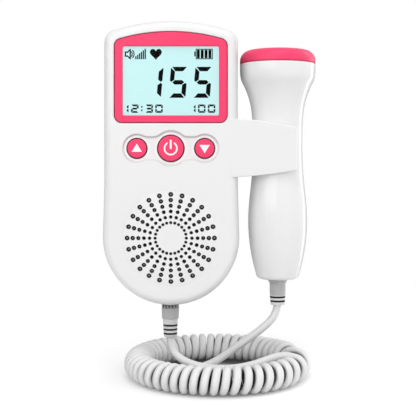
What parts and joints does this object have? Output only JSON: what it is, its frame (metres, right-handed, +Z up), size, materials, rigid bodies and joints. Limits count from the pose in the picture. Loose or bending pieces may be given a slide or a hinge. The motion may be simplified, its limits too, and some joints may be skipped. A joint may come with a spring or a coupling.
{
  "type": "fetal doppler monitor",
  "caption": "Hand-held fetal doppler monitor with a lit display, three press buttons and a radial speaker grille, its ultrasound probe clipped at the side on a curly cord",
  "frame": {"origin": "hanging point on the housing's flat back, on its centre line, 93.2 mm above its lowest point", "axes": "+Z up along the housing, +Y out of the flat back, +X towards the clipped probe; the front faces -Y"},
  "size_m": [0.1037, 0.092, 0.1733],
  "materials": {
    "white_plastic": "glossy white moulded plastic",
    "pink_plastic": "glossy pink moulded plastic",
    "clear_plastic": "clear acrylic",
    "lcd": "pale cyan liquid crystal panel",
    "backlight": "milky light guide",
    "board_green": "solder-masked circuit board",
    "switch_black": "black moulded switch body",
    "spring_steel": "plated spring steel",
    "screw_steel": "zinc-plated steel",
    "paper_black": "pressed paper",
    "cloth_grey": "woven dust cloth",
    "magnet": "dark plated magnet",
    "cell": "wrapped steel can",
    "relief_grey": "satin grey moulded rubber",
    "cord_grey": "pale grey cord jacket",
    "crystal": "silvered ceramic",
    "backing": "dense damping block"
  },
  "bodies": {
    "unit": {"front_housing": "white_plastic", "rear_housing": "white_plastic", "housing_screws": "screw_steel", "aa_cells": "cell", "battery_contacts": "spring_steel", "display_bezel": "pink_plastic", "display_lens": "clear_plastic", "lcd_panel": "lcd", "backlight": "backlight", "main_board": "board_green", "tact_switches": "switch_black", "headphone_socket": "switch_black", "speaker_grille": "white_plastic", "speaker_frame": "magnet", "speaker_cone": "paper_black", "speaker_magnet": "magnet", "dust_cloth": "cloth_grey", "unit_strain_relief": "relief_grey", "cord_unit_tail": "cord_grey", "cord_probe_tail": "cord_grey", "cord_coil": "cord_grey"},
    "cover": {"battery_cover": "white_plastic"},
    "up_key": {"button_up": "pink_plastic", "sign_up": "white_plastic"},
    "power_key": {"button_power": "pink_plastic", "sign_power": "white_plastic"},
    "down_key": {"button_down": "pink_plastic", "sign_down": "white_plastic"},
    "probe": {"probe_front_shell": "white_plastic", "probe_rear_shell": "white_plastic", "probe_cap": "pink_plastic", "probe_crystals": "crystal", "crystal_backing": "backing", "probe_board": "board_green", "probe_strain_relief": "relief_grey"}
  },
  "joints": [
    {"name": "up_press", "type": "slide", "parent": "unit", "child": "up_key", "axis": [0, 1, 0], "range_m": [0, 0.0006], "stiffness_N_per_m": 800},
    {"name": "power_press", "type": "slide", "parent": "unit", "child": "power_key", "axis": [0, 1, 0], "range_m": [0, 0.0006], "stiffness_N_per_m": 800},
    {"name": "down_press", "type": "slide", "parent": "unit", "child": "down_key", "axis": [0, 1, 0], "range_m": [0, 0.0006], "stiffness_N_per_m": 800},
    {"name": "cover_slide", "type": "slide", "parent": "unit", "child": "cover", "axis": [0, 0, -1], "range_m": [0, 0.006]},
    {"name": "probe_lift_out", "type": "slide", "parent": "unit", "child": "probe", "axis": [1, 0, 0], "range_m": [0, 0.03]}
  ]
}
